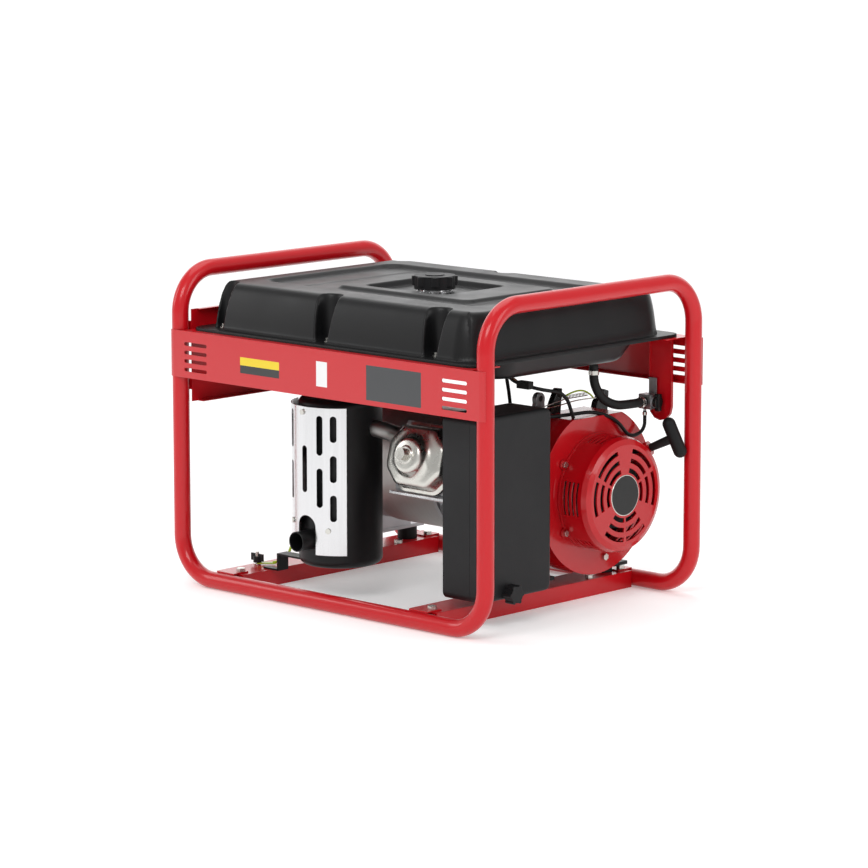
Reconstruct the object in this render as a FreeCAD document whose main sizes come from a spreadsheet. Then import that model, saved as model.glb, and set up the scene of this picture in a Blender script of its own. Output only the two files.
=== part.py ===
import FreeCAD, Part
import math
import os
import Sketcher
from FreeCAD import Placement, Rotation, Vector as V

# Open-frame portable generator. Millimetres, +Z up, +X towards the recoil
# starter, -Y towards the side with the muffler and the cylinder head.
# Origin: on the floor under the middle of the frame.
doc = FreeCAD.newDocument("generator")
sheet = doc.addObject("Spreadsheet::Sheet", "dims")


class Q:
    """A length with its value and the spreadsheet expression it comes from."""

    def __init__(self, v, e):
        self.v = float(v)
        self.e = e

    def _b(self, o, op, f):
        o = o if isinstance(o, Q) else Q(o, "%.6g" % o)
        return Q(f(self.v, o.v), "(%s %s %s)" % (self.e, op, o.e))

    def __add__(self, o): return self._b(o, "+", lambda a, b: a + b)
    def __sub__(self, o): return self._b(o, "-", lambda a, b: a - b)
    def __mul__(self, o): return self._b(o, "*", lambda a, b: a * b)
    def __truediv__(self, o): return self._b(o, "/", lambda a, b: a / b)
    def __radd__(self, o): return Q(o, "%.6g" % o) + self
    def __rsub__(self, o): return Q(o, "%.6g" % o) - self
    def __rmul__(self, o): return Q(o, "%.6g" % o) * self
    def __neg__(self): return Q(0, "0") - self


ROWS = """
tube_dia 28 outside diameter of the frame tube
tube_bore 24 bore of the frame tube
post_x 345.3 half distance between post centre lines along the length
post_y 249.7 half distance between post centre lines across the width
rail_z 14 height of the bottom rail centre line
bar_z 526 height of the top bar centre line
bend_rad 70 centre line radius of the frame bends
joint_x 195 where the two frame loops plug together
sheet_th 1.6 sheet steel thickness of the panels
panel_lo 351.5 bottom of the long panels
panel_hi 429.5 top of the long panels
lip_deep 64 depth of the panel's top lip
slot_in 266 inner end of the ventilation slots
slot_out 320 outer end of the ventilation slots
slot_high 6 height of a slot
slot_pitch 14.3 pitch of the slots
slot_zlow 362.4 bottom of the lowest slot
endp_lo 307 bottom of the control panel
endp_hi 462 top of the control panel
endp_x 333 distance of the control panel from the middle
mem_w 60 width of a cross member
mem_hi 28 height of a cross member
mem_th 2.5 thickness of a cross member
mem_left -245 centre of the left cross member
mem_right 198 centre of the right cross member
flange_x 321 half length of the tank flange
flange_y 250 half width of the tank flange
flange_th 5 thickness of the tank flange
tank_top 511 top of the tank
tank_low 396 underside of the tank pan
tank_wall 3 wall of the tank
tbolt_y 214 tank bolt line
tbolt_dx 242 tank bolt spacing
cap_rad 38 radius of the fuel cap
crank_y 120 crank axis across the width
crank_z 181 crank axis height
face_x 312 recoil starter face
recoil_rad 95 radius of the recoil housing
recoil_back 252 back of the recoil housing
fan_rad 138 radius of the fan cover
fan_back 168 back of the fan cover
cyl_tilt 15 tilt of the cylinder above level in degrees
cyl_x 107 cylinder axis along the length
muf_x -71 muffler axis along the length
muf_y -150 muffler axis across the width
muf_rad 69 muffler radius
muf_lo 58 underside of the muffler
muf_hi 336 top of the muffler
shield_rad 81 radius of the heat shield
shield_lo 83 bottom of the heat shield
shield_hi 326 top of the heat shield
box_x 204 back of the air cleaner
box_face 285 face of the air cleaner cover
box_y0 -197 front side of the air cleaner
box_y1 -28 back side of the air cleaner
box_z0 43 underside of the air cleaner
box_z1 340 top of the air cleaner
stator_rad 102 stator radius
shaft_rad 12.5 shaft radius
hose_dia 15 fuel hose outside diameter
line_dia 6 thin fuel line outside diameter
wire_dia 4.4 earth wire diameter
rope_dia 4.5 starter rope diameter
""".strip().splitlines()
for i, row in enumerate(ROWS):
    name, value, note = row.split(None, 2)
    sheet.set("A%d" % (i + 1), note)
    sheet.set("B%d" % (i + 1), value)
    sheet.setAlias("B%d" % (i + 1), name)
doc.recompute()


def d(name):
    return Q(float(sheet.get(name)), "dims." + name)


def val(q):
    return q.v if isinstance(q, Q) else float(q)


NODES = {}
COUNT = [0]


def uid(stem):
    COUNT[0] += 1
    return "%s_%d" % (stem, COUNT[0])


def bind(o, prop, q):
    if isinstance(q, Q):
        o.setExpression(prop, q.e)
    return val(q)


def place(o, pos, rot=None):
    o.Placement = Placement(V(*[val(p) for p in pos]), rot or Rotation())
    for ax, p in zip("xyz", pos):
        if isinstance(p, Q):
            o.setExpression("Placement.Base." + ax, p.e)
    return o


def box(x0, x1, y0, y1, z0, z1):
    o = doc.addObject("Part::Box", uid("box"))
    for prop, a, b in (("Length", x0, x1), ("Width", y0, y1), ("Height", z0, z1)):
        span = b - a
        setattr(o, prop, val(span))
        bind(o, prop, span)
    return place(o, (x0, y0, z0))


AX = {"z": Rotation(), "x": Rotation(V(0, 1, 0), 90), "y": Rotation(V(1, 0, 0), -90),
      "-x": Rotation(V(0, 1, 0), -90), "-y": Rotation(V(1, 0, 0), 90), "-z": Rotation(V(1, 0, 0), 180)}


def cyl(r, h, pos, axis="z", angle=None):
    o = doc.addObject("Part::Cylinder", uid("cyl"))
    o.Radius = val(r); bind(o, "Radius", r)
    o.Height = val(h); bind(o, "Height", h)
    if angle is not None:
        o.Angle = angle
    return place(o, pos, AX[axis] if isinstance(axis, str) else axis)


def cone(r1, r2, h, pos, axis="z"):
    o = doc.addObject("Part::Cone", uid("cone"))
    o.Radius1 = val(r1); bind(o, "Radius1", r1)
    o.Radius2 = val(r2); bind(o, "Radius2", r2)
    o.Height = val(h); bind(o, "Height", h)
    return place(o, pos, AX[axis] if isinstance(axis, str) else axis)


def prism(sides, r, h, pos, axis="z"):
    o = doc.addObject("Part::Prism", uid("prism"))
    o.Polygon = sides
    o.Circumradius = val(r); bind(o, "Circumradius", r)
    o.Height = val(h); bind(o, "Height", h)
    return place(o, pos, AX[axis] if isinstance(axis, str) else axis)


def fuse(*shapes):
    o = doc.addObject("Part::MultiFuse", uid("fuse"))
    o.Shapes = list(shapes)
    return o


def cut(base, *tools):
    o = doc.addObject("Part::Cut", uid("cut"))
    o.Base = base
    o.Tool = tools[0] if len(tools) == 1 else fuse(*tools)
    return o


def group(*shapes):
    o = doc.addObject("Part::Compound", uid("group"))
    o.Links = list(shapes)
    return o


def feature(shape, rot=None, pos=None):
    o = doc.addObject("Part::Feature", uid("form"))
    o.Shape = shape
    if rot or pos:
        o.Placement = Placement(pos or V(), rot or Rotation())
    return o


def fillet(base, radius, pick):
    """Round the edges of base that pick() chooses."""
    doc.recompute()
    o = doc.addObject("Part::Fillet", uid("round"))
    o.Base = base
    o.Edges = [(i + 1, radius, radius) for i, e in enumerate(base.Shape.Edges) if pick(e)]
    return o


def node(name, o):
    o.Label = name
    NODES[name] = o
    return o


# ---- sketched bodies -------------------------------------------------------
def pd_body(name):
    b = doc.addObject("PartDesign::Body", name + "_body")
    return b


def pd_plane(body, role):
    return [f for f in body.Origin.OriginFeatures if f.Role == role][0]


def pd_poly(body, role, pts):
    """Closed polygon sketch; every corner is held by two sizes from the origin."""
    sk = body.newObject("Sketcher::SketchObject", uid("sketch"))
    sk.AttachmentSupport = [(pd_plane(body, role), "")]
    sk.MapMode = "FlatFace"
    n = len(pts)
    P = [V(val(a), val(b), 0) for a, b in pts]
    for i in range(n):
        sk.addGeometry(Part.LineSegment(P[i], P[(i + 1) % n]), False)
    for i in range(n):
        sk.addConstraint(Sketcher.Constraint("Coincident", i, 2, (i + 1) % n, 1))
    for i, (a, b) in enumerate(pts):
        for kind, q in (("DistanceX", a), ("DistanceY", b)):
            v = val(q)
            if abs(v) < 1e-9:
                c = Sketcher.Constraint("PointOnObject", i, 1, -2 if kind == "DistanceX" else -1)
                sk.addConstraint(c)
                continue
            if v > 0:
                k = sk.addConstraint(Sketcher.Constraint(kind, -1, 1, i, 1, v))
            else:
                k = sk.addConstraint(Sketcher.Constraint(kind, i, 1, -1, 1, -v))
                q = -q if isinstance(q, Q) else q
            if isinstance(q, Q):
                sk.setExpression("Constraints[%d]" % k, q.e)
    return sk


def pd_circle(body, role, cx, cy, r):
    sk = body.newObject("Sketcher::SketchObject", uid("sketch"))
    sk.AttachmentSupport = [(pd_plane(body, role), "")]
    sk.MapMode = "FlatFace"
    sk.addGeometry(Part.Circle(V(val(cx), val(cy), 0), V(0, 0, 1), val(r)), False)
    k = sk.addConstraint(Sketcher.Constraint("Radius", 0, val(r)))
    if isinstance(r, Q):
        sk.setExpression("Constraints[%d]" % k, r.e)
    for kind, q in (("DistanceX", cx), ("DistanceY", cy)):
        v = val(q)
        if abs(v) < 1e-9:
            sk.addConstraint(Sketcher.Constraint("PointOnObject", 0, 3, -2 if kind == "DistanceX" else -1))
        elif v > 0:
            sk.addConstraint(Sketcher.Constraint(kind, -1, 1, 0, 3, v))
        else:
            sk.addConstraint(Sketcher.Constraint(kind, 0, 3, -1, 1, -v))
    return sk


def pd_pad(body, sk, length, mid=False, rev=False):
    p = body.newObject("PartDesign::Pad", uid("pad"))
    p.Profile = sk
    p.Length = val(length); bind(p, "Length", length)
    if mid:
        p.Midplane = True
    p.Reversed = rev
    sk.Visibility = False
    return p


def pd_pocket(body, sk, length=None, rev=False, mid=False):
    doc.recompute()
    before = body.Shape.Volume
    p = body.newObject("PartDesign::Pocket", uid("pocket"))
    p.Profile = sk
    if length is None:
        p.Type = 1
        p.Midplane = mid
    else:
        p.Length = val(length); bind(p, "Length", length)
    p.Reversed = rev
    doc.recompute()
    if not body.Shape.Volume < before - 0.5:
        p.Reversed = not rev
        doc.recompute()
    assert body.Shape.Volume < before - 0.5, "pocket cut nothing"
    return p


def pd_rev(body, sk, axis):
    p = body.newObject("PartDesign::Revolution", uid("turn"))
    p.Profile = sk
    p.ReferenceAxis = (sk, [axis])
    p.Angle = 360
    return p


# ---- paths -----------------------------------------------------------------
def rounded(points, radii):
    """Straight runs joined by tangent arcs through the corner points."""
    P = [V(*p) for p in points]
    edges, last = [], P[0]
    for i in range(1, len(P) - 1):
        a, b, c = P[i - 1], P[i], P[i + 1]
        u, w = (a - b), (c - b)
        la, lc = u.Length, w.Length
        u.normalize(); w.normalize()
        turn = math.pi - u.getAngle(w)
        r = radii if not callable(radii) else radii(min(la, lc), turn)
        t = r * math.tan(turn / 2)
        s, e = b + u * t, b + w * t
        m = (u + w); m.normalize()
        c0 = b + m * (r / math.cos(turn / 2))
        mid = c0 - m * r
        if (s - last).Length > 1e-6:
            edges.append(Part.LineSegment(last, s).toShape())
        edges.append(Part.Arc(s, mid, e).toShape())
        last = e
    edges.append(Part.LineSegment(last, P[-1]).toShape())
    return Part.Wire(edges)


def tube(points, radii, r):
    w = rounded(points, radii)
    e = w.Edges[0]
    t = e.tangentAt(e.FirstParameter)
    prof = Part.Wire([Part.Circle(e.valueAt(e.FirstParameter), t, r).toShape()])
    s = w.makePipeShell([prof], True, False)
    return s, w


def cord(points, dia, label):
    got = []

    def rad(run, turn):
        r = 0.45 * run / math.tan(turn / 2)
        got.append(r)
        return r
    s, w = tube(points, rad, dia / 2)
    vol = math.pi * dia * dia / 4 * w.Length
    print(label, "length %.0f mm" % w.Length, "radii", " ".join("%.0f" % g for g in got),
          "volume ratio %.4f" % (s.Volume / vol))
    assert abs(s.Volume / vol - 1) < 0.02
    return s


# ============================ FRAME =========================================
ro, ri = d("tube_dia") / 2, d("tube_bore") / 2
ax, ay, zr, zt = d("post_x"), d("post_y"), d("rail_z"), d("bar_z")
bend = val(d("bend_rad"))
jx = d("joint_x")


def loop(side, r):
    X, Y, a, b, j = val(ax) * side, val(ay), val(zr), val(zt), val(jx)
    pts = [(j, -Y, a), (X, -Y, a), (X, -Y, b), (X, Y, b), (X, Y, a), (j, Y, a)]
    return tube(pts, bend, r)[0]


node("frame_loop_left", feature(loop(-1, val(ro)).cut(loop(-1, val(ri)))))
right = loop(1, val(ro)).cut(loop(1, val(ri)))
spig = []
for s in (-1, 1):
    c = Part.makeCylinder(val(ri) - 0.05, 41, V(val(jx) - 40, val(ay) * s, val(zr)), V(1, 0, 0))
    c = c.fuse(Part.makeCylinder(val(ri) + 0.2, 39, V(val(jx) + 0.5, val(ay) * s, val(zr)), V(1, 0, 0)))
    spig.append(c.cut(Part.makeCylinder(val(ri) - 2, 82, V(val(jx) - 41, val(ay) * s, val(zr)), V(1, 0, 0))))
# the spigots are swaged into the right loop's ends and slide into the left loop
trim = right
for c in spig:
    trim = trim.fuse(c)
node("frame_loop_right", feature(trim))


def long_panel(side):
    """Sheet panel that wraps the posts, with a top lip that carries the tank."""
    s = side
    t = d("sheet_th")
    lo, hi = d("panel_lo"), d("panel_hi")

    def yb(a, b, x0, x1, z0, z1):
        lo_, hi_ = (a, b) if s > 0 else (-b, -a)
        return box(x0, x1, lo_, hi_, z0, z1)
    face0, face1 = ay + ro, ay + ro + t
    plate = yb(face0, face1, -ax, ax, lo, hi)
    lip = yb(face0 - d("lip_deep"), face1, -(ax - 16), ax - 16, hi - t, hi)
    low = yb(face0 - 14, face1, -(ax - 16), ax - 16, lo, lo + t)
    parts = [plate, lip, low]
    for sx in (-1, 1):
        px = ax * sx
        ang = 42
        start = {(-1, -1): 270 - ang, (1, -1): 270, (-1, 1): 90, (1, 1): 90 - ang}[(sx, s)]
        outer = cyl(ro + t, hi - lo, (px, ay * s, lo), Rotation(V(0, 0, 1), start), ang)
        inner = cyl(ro, hi - lo + 2, (px, ay * s, lo - 1), "z")
        parts.append(cut(outer, inner))
    tools = []
    for sx in (-1, 1):
        a, b = d("slot_in"), d("slot_out")
        x0, x1 = (a, b) if sx > 0 else (-b, -a)
        for k in range(4):
            z0 = d("slot_zlow") + d("slot_pitch") * k
            h2 = d("slot_high") / 2
            tools.append(yb(face0 - 2, face1 + 2, x0 + h2, x1 - h2, z0, z0 + d("slot_high")))
            for xc in (x0 + h2, x1 - h2):
                tools.append(cyl(h2, t + 4, (xc, (face0 - 2) * s if s > 0 else -(face1 + 2), z0 + h2), "y"))
    for k in (-1, 0, 1):
        tools.append(cyl(3.6, 8, (-32 + d("tbolt_dx") * k, d("tbolt_y") * s, hi - 5), "z"))
    return cut(fuse(*parts), *tools)


node("panel_front", long_panel(-1))
node("panel_back", long_panel(1))

# control panel carrier across the left end, with folded lips and cut-outs
ex = d("endp_x")
th = d("sheet_th")
el, eh = d("endp_lo"), d("endp_hi")
plate = box(-ex - th, -ex, -(ay - ro), ay - ro, el, eh)
lips = [box(-ex, -ex + 14, -(ay - ro - 12), ay - ro - 12, el, el + th),
        box(-ex, -ex + 8, -(ay - ro - 12), ay - ro - 12, eh - th, eh)]
tabs = [box(-ax, -ex, (ay - ro - 2) * s if s > 0 else -(ay - ro), (ay - ro) if s > 0 else -(ay - ro - 2), z, z + 24)
        for s in (-1, 1) for z in (el + 20, eh - 44)]
SOCK_Y = (-95, -20)
SOCK_Z = 385
tools = [cyl(22.2, 12, (-ex - 6, y, SOCK_Z), "x") for y in SOCK_Y]
tools += [cyl(10.1, 12, (-ex - 6, 70, 400), "x"), box(-ex - 6, -ex + 6, 118.9, 145.1, 378.9, 401.1),
          cyl(6.1, 12, (-ex - 6, 70, 350), "x")]
node("panel_left", cut(fuse(plate, *(lips + tabs)), *tools))


def member(name, centre, holes):
    """Channel with returned lips, open below, and a bolted tab on each rail."""
    b = pd_body(name)
    w2, hh, tt = d("mem_w") / 2, d("mem_hi"), d("mem_th")
    prof = [(-w2, 0), (-(w2 - 12), 0), (-(w2 - 12), tt), (-(w2 - tt), tt), (-(w2 - tt), hh - tt),
            (w2 - tt, hh - tt), (w2 - tt, tt), (w2 - 12, tt), (w2 - 12, 0), (w2, 0), (w2, hh), (-w2, hh)]
    prof = [(p if isinstance(p, Q) else p, q) for p, q in prof]
    pd_pad(b, pd_poly(b, "XZ_Plane", prof), (ay - ro) * 2, mid=True)
    sk = pd_poly(b, "XZ_Plane", [(-20, hh), (20, hh), (20, hh + tt), (-20, hh + tt)])
    doc.recompute()
    pd_pad(b, sk, (ay - 2) * 2, mid=True)
    # window between the tabs leaves one tab per end
    sk = pd_poly(b, "YZ_Plane", [(-214, hh), (214, hh), (214, hh + tt + 1), (-214, hh + tt + 1)])
    pd_pocket(b, sk, None, mid=True)
    sk = None
    for x, y in holes:
        sk = pd_circle(b, "XY_Plane", x, y, 4.2)
        pd_pocket(b, sk, 40, rev=True)
    place(b, (centre, 0, 0))
    return node(name, b)


member("cross_member_left", d("mem_left"), ((14, -225), (14, 225), (23, 142)))
member("cross_member_right", d("mem_right"), ((12, -228), (12, 228), (20, 140)))

# ============================ TANK ==========================================


def rrect(x, y, r, z):
    """Rounded rectangle wire of half sizes x and y at height z."""
    P = [(x - r, -y), (x, -y + r), (x, y - r), (x - r, y), (-x + r, y), (-x, y - r), (-x, -y + r), (-x + r, -y)]
    C = [(x - r, -y + r), (x - r, y - r), (-x + r, y - r), (-x + r, -y + r)]
    q = math.sqrt(0.5) * r
    M = [(C[0][0] + q, C[0][1] - q), (C[1][0] + q, C[1][1] + q), (C[2][0] - q, C[2][1] + q), (C[3][0] - q, C[3][1] - q)]
    e = []
    for k in range(4):
        a, b, c = P[2 * k], P[2 * k + 1], P[(2 * k + 2) % 8]
        e.append(Part.Arc(V(a[0], a[1], z), V(M[k][0], M[k][1], z), V(b[0], b[1], z)).toShape())
        e.append(Part.LineSegment(V(b[0], b[1], z), V(c[0], c[1], z)).toShape())
    return Part.Wire(e)


def shell(z0, z1, bx, by, br, tx, ty, tr):
    return Part.makeLoft([rrect(bx, by, br, z0), rrect(tx, ty, tr, z1)], True, True)


pz = val(d("panel_hi"))
ft, wall = val(d("flange_th")), val(d("tank_wall"))
fx, fy = val(d("flange_x")), val(d("flange_y"))
zmid = pz + ft / 2
top, low = val(d("tank_top")), val(d("tank_low"))


def topfillet(s, z, r):
    es = [e for e in s.Edges if all(abs(v.Point.z - z) < 1e-3 for v in e.Vertexes)]
    return s.makeFillet(r, es)


outer = topfillet(shell(zmid, top, 306, 236, 46, 290, 206, 40), top, 24)
inner = topfillet(shell(zmid, top - wall, 306 - wall, 236 - wall, 43, 290 - wall, 206 - wall, 37), top - wall, 21)
flange = Part.Face(rrect(fx, fy, 22, zmid)).extrude(V(0, 0, ft / 2))
up = outer.fuse(flange)
void = inner.cut(Part.makeBox(182, 156, 20, V(-91, -78, top - 15)))
BOLT = [(-32 + val(d("tbolt_dx")) * k, val(d("tbolt_y")) * s) for s in (-1, 1) for k in (-1, 0, 1)]
for x, y in BOLT:
    void = void.cut(Part.makeCylinder(17, pz + ft + 58 - zmid, V(x, y, zmid)))
up = up.cut(void)
pocket = Part.makeBox(176, 150, 20, V(-88, -75, top - 12))
pocket = pocket.makeFillet(10, [e for e in pocket.Edges if abs(e.Vertexes[0].Point.z - e.Vertexes[-1].Point.z) > 5])
up = up.cut(pocket).cut(Part.makeCylinder(24, 40, V(0, 0, top - 25)))
for x, y in BOLT:
    up = up.cut(Part.makeCylinder(14, 55, V(x, y, pz + ft)))
    up = up.cut(Part.makeBox(28, 60, 55, V(x - 14, y if y > 0 else y - 60, pz + ft)))
    up = up.cut(Part.makeCylinder(3.6, 20, V(x, y, pz - 2)))
node("tank_upper", feature(up))
outer = topfillet(shell(zmid, low, 304, 178, 46, 284, 158, 40), low, 20)
inner = topfillet(shell(zmid, low + wall, 304 - wall, 178 - wall, 43, 284 - wall, 158 - wall, 37), low + wall, 17)
flange = Part.Face(rrect(fx, fy, 22, pz)).extrude(V(0, 0, ft / 2))
dn = outer.fuse(flange).cut(inner)
dn = dn.cut(Part.makeBox(2000, 2000, 200, V(-1000, -1000, zmid)))
for s in (-1, 1):
    for k in (-1, 0, 1):
        dn = dn.cut(Part.makeCylinder(3.6, 20, V(-32 + val(d("tbolt_dx")) * k, val(d("tbolt_y")) * s, pz - 2)))
HOSE_X, HOSE_Y = 250, 112
dn = dn.fuse(Part.makeCylinder(9, 6, V(HOSE_X, HOSE_Y, low - 4)))
dn = dn.fuse(Part.makeCylinder(4, 16, V(HOSE_X, HOSE_Y, low - 18)))
dn = dn.cut(Part.makeCylinder(2.5, 40, V(HOSE_X, HOSE_Y, low - 20)))
node("tank_lower", feature(dn.removeSplitter()))

tz = d("tank_top")
node("filler_neck", cut(fuse(cyl(23.9, 24, (0, 0, tz - 30)), cyl(30, 2, (0, 0, tz - 12))),
                        cyl(21, 40, (0, 0, tz - 36))))
lobes = [cyl(7, 15, (math.cos(math.radians(45 * k)) * 31, math.sin(math.radians(45 * k)) * 31, tz - 1)) for k in range(8)]
cap = fuse(cyl(d("cap_rad") - 4, 16, (0, 0, tz - 1)), cyl(16, 1.5, (0, 0, tz + 14.9)), *lobes)
skirt = cut(cyl(34, 6, (0, 0, tz - 7)), cyl(31.5, 7, (0, 0, tz - 8)))
node("fuel_cap", fuse(cap, skirt, cyl(16, 10, (0, 0, tz - 10.5))))

bolts = []
for s in (-1, 1):
    for k in (-1, 0, 1):
        x, y = -32 + d("tbolt_dx") * k, d("tbolt_y") * s
        z = d("panel_hi") + ft
        bolts.append(fuse(cyl(3.3, 16, (x, y, z - 12)), cyl(9, 1.6, (x, y, z)), prism(6, 6, 5, (x, y, z + 1.5))))
node("tank_bolts", group(*bolts))

# fuel valve on its bracket at the back right, under the tank
vx, vy, vz = 272, 224, 320
fv = fuse(box(vx - 13, vx + 13, vy - 10, vy + 10, vz - 12, vz + 12), cyl(4.2, 16, (vx, vy - 26, vz), "y"),
          cyl(2.35, 16, (vx - 8, vy, vz - 28), "z"), cyl(9, 3, (vx + 13, vy, vz), "x"),
          box(vx - 8, vx + 8, vy + 9.9, vy + 12, vz - 12, vz + 38))
node("fuel_valve", cut(fv, cyl(3.55, 30, (vx + 4, vy, vz), "x"), cyl(2.8, 14, (vx, vy - 28, vz), "y")))
node("fuel_valve_lever", fuse(cyl(3.5, 18, (vx + 4.5, vy, vz), "x"), cyl(10, 6, (vx + 16.4, vy, vz), "x"),
                              box(vx + 16.4, vx + 25, vy - 4, vy + 4, vz - 14, vz + 14)))
b = pd_body("valve_bracket")
ring = [(-24, 115.8), (-24, 0)] + [(-24 * math.cos(math.radians(a)), -24 * math.sin(math.radians(a))) for a in (30, 60, 90, 120, 150)] + [(24, 0), (24, 115.8)]
pd_pad(b, pd_poly(b, "XZ_Plane", ring), 2)
inn = [(p * 0.95, q * 0.95 if q < 115 else q) for p, q in ring]
full = inn + list(reversed(ring))
doc.recompute()
b2 = pd_poly(b, "XZ_Plane", full)
pd_pad(b, b2, 5)
place(b, (286, 241.4, 312))
node("valve_bracket", b)
hp = [(HOSE_X, HOSE_Y, low - 6), (HOSE_X, HOSE_Y, low - 36), (HOSE_X + 6, HOSE_Y + 12, low - 62),
      (HOSE_X + 14, HOSE_Y + 38, low - 76), (vx, vy - 42, vz), (vx, vy - 11, vz)]
hs = cord(hp, val(d("hose_dia")), "fuel_hose")
hin = cord(hp, 9.0, "fuel_hose bore")
node("fuel_hose", feature(hs.cut(hin)))
lp = [(vx - 8, vy, vz - 17), (vx - 8, vy, 270), (261, 190, 262), (257, 160, 296), (244, 120, 312), (228, 60, 310),
      (212, 5, 310), (193, -34, 313), (180.5, -87, 314), (180.5, -87, 264.4)]
line = cord(lp, val(d("line_dia")), "fuel_line")
line = line.cut(Part.makeCylinder(2.4, 14, V(vx - 8, vy, vz - 29))).cut(Part.makeCylinder(2.95, 9, V(180.5, -87, 263)))
node("fuel_line", feature(line))
clips = [cut(cyl(8.8, 7, (HOSE_X, HOSE_Y, low - 22)), cyl(7.5, 9, (HOSE_X, HOSE_Y, low - 23))),
         cut(cyl(8.8, 7, (vx, vy - 22, vz), "y"), cyl(7.5, 9, (vx, vy - 23, vz), "y")),
         cut(cyl(4, 5, (vx - 8, vy, vz - 24)), cyl(3.05, 7, (vx - 8, vy, vz - 25)))]
node("hose_clips", group(*clips))

# ============================ ENGINE ========================================
cy, cz, cxx = d("crank_y"), d("crank_z"), d("cyl_x")
tilt = math.radians(val(d("cyl_tilt")))
TILT = Rotation(V(1, 0, 0), -val(d("cyl_tilt")))
UP = V(0, -math.cos(tilt), math.sin(tilt))      # along the cylinder, outwards
VP = V(0, math.sin(tilt), math.cos(tilt))       # across it, upwards
C0 = V(val(cxx), val(cy), val(cz))
ENGINE = Placement(C0, TILT)                    # local -Y runs along the cylinder


def eng(o):
    """Move a piece drawn about the crank axis into the tilted cylinder frame."""
    o.Placement = ENGINE.multiply(o.Placement)
    return o


def ebox(x0, x1, a0, a1, v0, v1):
    """Box by distance a along the cylinder and v across it."""
    return eng(box(x0, x1, -a1, -a0, v0, v1))


def ecyl(r, a0, a1, x=0, v=0):
    return eng(cyl(r, a1 - a0, (x, -a0, v), "-y"))


# crankcase: hollow casting with feet, a bored main wall each side
case = fillet(box(22, 150, 22, 214, 62, 272), 14, lambda e: abs(e.tangentAt(e.FirstParameter).x) > 0.9)
hollow = box(30, 142, 34, 202, 74, 258)
feet = [box(22, 150, 12, 46, 46.1, 76), box(22, 150, 194, 228, 46.1, 76)]
feet += [cyl(9, 18, (150, y, z), "x") for y, z in ((52, 76), (188, 76), (196, 256), (50, 256))]
boss = [cyl(15, 30, (46, 24, 143), "-y"), cyl(11, 18, (46, -5.9, 143), "-y"), box(40, 130, 10, 23, 100, 128)]
throat = ecyl(46, 60, 150)
deck = ebox(-58, 58, 70, 103, -56, 56)
boss.append(cyl(13, 12.6, (110, 22.1, 90), "-y"))
case = cut(fuse(case, deck, *(feet + boss)), hollow, throat, ebox(-86, 60, 103.01, 170, -52, 110), cyl(12.6, 200, (0, cy, cz), "x"),
           cyl(44, 12, (141, cy, cz), "x"), cyl(9.2, 50, (110, 34.2, 90), "-y"))
node("crankcase", case)
fins = [ebox(-60, 60, 112 + 11 * k, 115.5 + 11 * k, -52, 52) for k in range(9)]
node("cylinder", cut(fuse(ecyl(48, 103, 216), ebox(-50, 50, 206, 216, -50, 50), *fins), ecyl(44, 90, 220)))
node("piston", cut(ecyl(43.94, 150, 206), ecyl(38, 148, 196), eng(cyl(10, 100, (-50, -168, 0), "x"))))
head = [ebox(-56, 56, 216.2, 262, -54, 54)]
for k in range(4):
    head.append(ebox(-60, 60, 222 + 10 * k, 225.5 + 10 * k, -58, 58))
node("cylinder_head", cut(fuse(*head), eng(cyl(7.1, 60, (34, -245, -34), "x")), eng(cyl(11.5, 40, (-75, -248, 30), "x")),
                          eng(cyl(12, 60, (34, -248, 30), "x"))))
b = pd_body("rocker_cover")


def octo(a, c, k):
    return [(-a + k, -c), (a - k, -c), (a, -c + k), (a, c - k), (a - k, c), (-a + k, c), (-a, c - k), (-a, -c + k)]


def inset(body, role, pts, off):
    sk = pd_poly(body, role, pts)
    sk.AttachmentOffset = Placement(V(0, 0, off), Rotation())
    return sk


pd_pad(b, pd_poly(b, "XZ_Plane", octo(69, 57, 30)), 4)
doc.recompute()
pd_pad(b, inset(b, "XZ_Plane", octo(63, 51, 28), 4), 16)
doc.recompute()
pd_pad(b, inset(b, "XZ_Plane", octo(53, 42, 25), 20), 20)
doc.recompute()
pd_pad(b, inset(b, "XZ_Plane", octo(40, 36, 20), 40), 12)
doc.recompute()
pd_pocket(b, pd_poly(b, "XZ_Plane", octo(38, 34, 18)), 44)
b.Placement = ENGINE.multiply(Placement(V(0, -262.2, 0), Rotation()))
node("rocker_cover", b)
node("lower_shroud", fuse(ebox(-62, 74, 150, 268, -64, -60.2), ebox(-62, -59, 150, 268, -64, -50 - 9)))
node("spark_plug", fuse(eng(cyl(7, 26, (34.2, -245, -34), "x")), eng(prism(6, 11, 9, (60.2, -245, -34), "x")),
                        eng(cyl(5, 12, (69, -245, -34), "x"))))
node("spark_plug_cap", cut(fuse(eng(cyl(9, 24, (70, -245, -34), "x")), eng(cyl(8, 26, (86, -245, -34), "-z"))),
                           eng(cyl(5.05, 12.2, (69, -245, -34), "x"))))

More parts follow.
